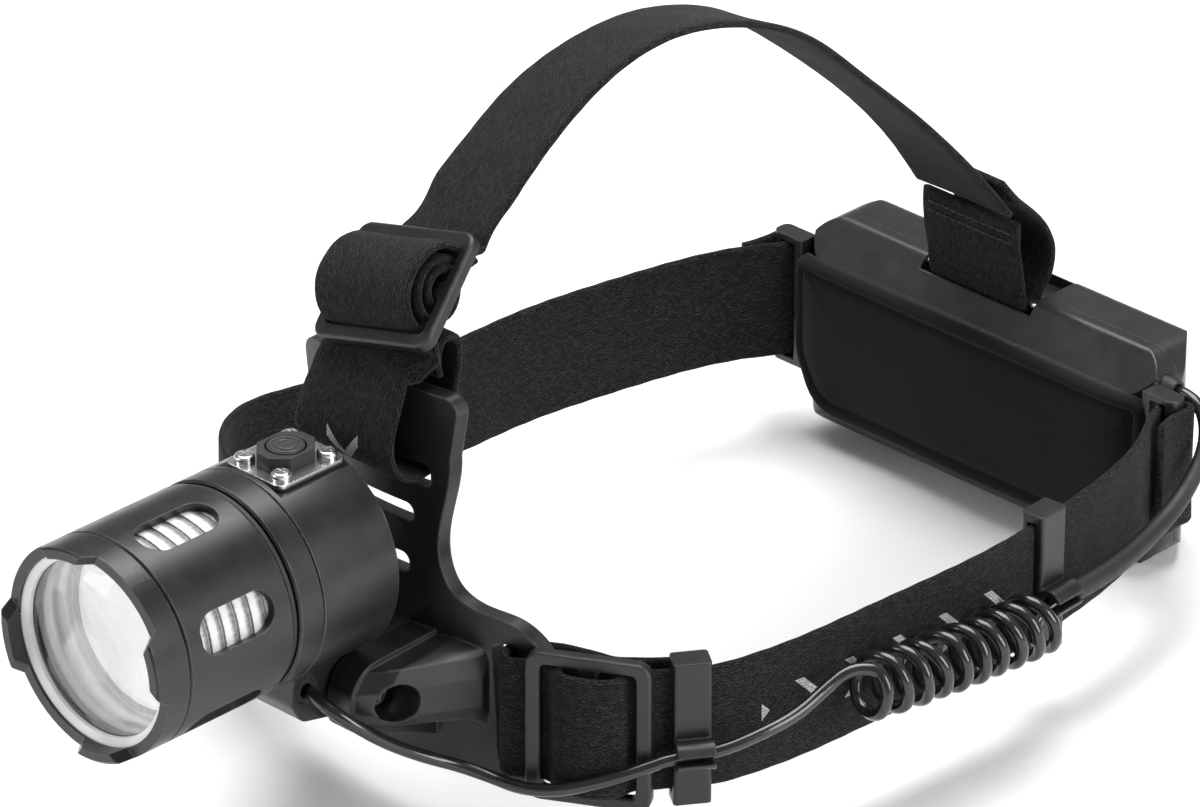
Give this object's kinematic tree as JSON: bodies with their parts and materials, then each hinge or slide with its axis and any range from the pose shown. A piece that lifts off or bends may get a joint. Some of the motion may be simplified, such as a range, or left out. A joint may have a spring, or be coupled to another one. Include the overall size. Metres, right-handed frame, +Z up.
{
  "type": "miner's cap lamp",
  "caption": "Head-worn cap lamp with a zooming round lamp on a tilting forehead bracket, elastic band and top strap, part-coiled lead and rear battery box.",
  "frame": {"origin": "middle of the head-band loop, at the band's mid height", "axes": "-Y is the way the lamp points, +Y towards the battery box, +X towards the side the lead runs along, +Z up"},
  "size_m": [0.161, 0.2699, 0.1414],
  "materials": {
    "black_anodised": "fine bead-blasted black anodising",
    "clear_lens": "polished clear",
    "white_plastic": "semi-gloss moulded",
    "black_rubber": "matt",
    "circuit_board": "solder mask",
    "led_board_white": "white solder mask",
    "led_yellow": "phosphor under clear dome",
    "bright_steel": "bright nickel plated",
    "bracket_plastic": "fine spark-eroded moulding texture",
    "box_plastic": "satin moulded",
    "cell_wrap": "shrink wrap",
    "black_webbing": "ribbed woven elastic",
    "pad_cloth": "brushed loop-pile cloth",
    "lead_jacket": "glossy soft PVC"
  },
  "bodies": {
    "harness": {"band_left": "black_webbing", "band_loop_left": "black_webbing", "band_loop_right": "black_webbing", "band_right": "black_webbing", "battery_tray": "box_plastic", "box_gasket": "black_rubber", "box_gland": "black_rubber", "cable_clip_front": "bracket_plastic", "cable_clip_rear": "bracket_plastic", "cell_lower": "cell_wrap", "cell_upper": "cell_wrap", "charge_board": "circuit_board", "charge_socket": "bright_steel", "contact_plates": "bright_steel", "contact_springs": "bright_steel", "cord_coil": "lead_jacket", "cord_front": "lead_jacket", "cord_lamp_end": "lead_jacket", "cord_rear": "lead_jacket", "forehead_plate": "bracket_plastic", "friction_washers": "bracket_plastic", "head_pad": "pad_cloth", "hinge_nut": "bright_steel", "hinge_screw": "bright_steel", "side_buckle_left": "bracket_plastic", "side_buckle_right": "bracket_plastic", "strap_bar": "bright_steel", "top_buckle": "bracket_plastic", "top_strap": "black_webbing", "top_strap_front_loop": "black_webbing", "top_strap_rear_loop": "black_webbing"},
    "lamp": {"inner_barrel": "black_anodised", "barrel_seal": "black_rubber", "stop_ring": "black_rubber", "rear_ring": "black_anodised", "lamp_body": "black_anodised", "led_pedestal": "black_anodised", "led_board": "led_board_white", "led_emitter": "led_yellow", "reflector_cup": "white_plastic", "driver_board": "circuit_board", "switch_gasket": "black_rubber", "switch_plate": "bright_steel", "switch_boot": "black_rubber", "switch_screws": "bright_steel", "tact_switch": "bracket_plastic", "lamp_foot": "bracket_plastic", "lamp_grommet": "black_rubber"},
    "zoom_head": {"bezel": "black_anodised", "lens": "clear_lens", "lens_ring": "white_plastic", "lens_seal": "black_rubber", "zoom_sleeve": "black_anodised", "window_diffuser": "white_plastic"},
    "switch_cap": {"power_button": "black_rubber"},
    "box_cover": {"battery_cover": "box_plastic"},
    "charge_flap": {"port_plug": "black_rubber"}
  },
  "joints": [
    {"name": "lamp_tilt", "type": "hinge", "parent": "harness", "child": "lamp", "pos_m": [0, -0.0914, 0.0043], "axis": [1, 0, 0], "range_deg": [0, 75], "deforming": ["cord_lamp_end"]},
    {"name": "zoom_slide", "type": "slide", "parent": "lamp", "child": "zoom_head", "axis": [0, -1, 0], "range_m": [0, 0.008]},
    {"name": "power_press", "type": "slide", "parent": "lamp", "child": "switch_cap", "axis": [0, 0, -1], "range_m": [0, 0.0008], "stiffness_N_per_m": 1200},
    {"name": "cover_slide", "type": "slide", "parent": "harness", "child": "box_cover", "axis": [0, 1, 0], "range_m": [0, 0.025]},
    {"name": "charge_flap_hinge", "type": "hinge", "parent": "harness", "child": "charge_flap", "pos_m": [0.0463, 0.093, -0.0269], "axis": [0, -1, 0], "range_deg": [0, 100]}
  ]
}
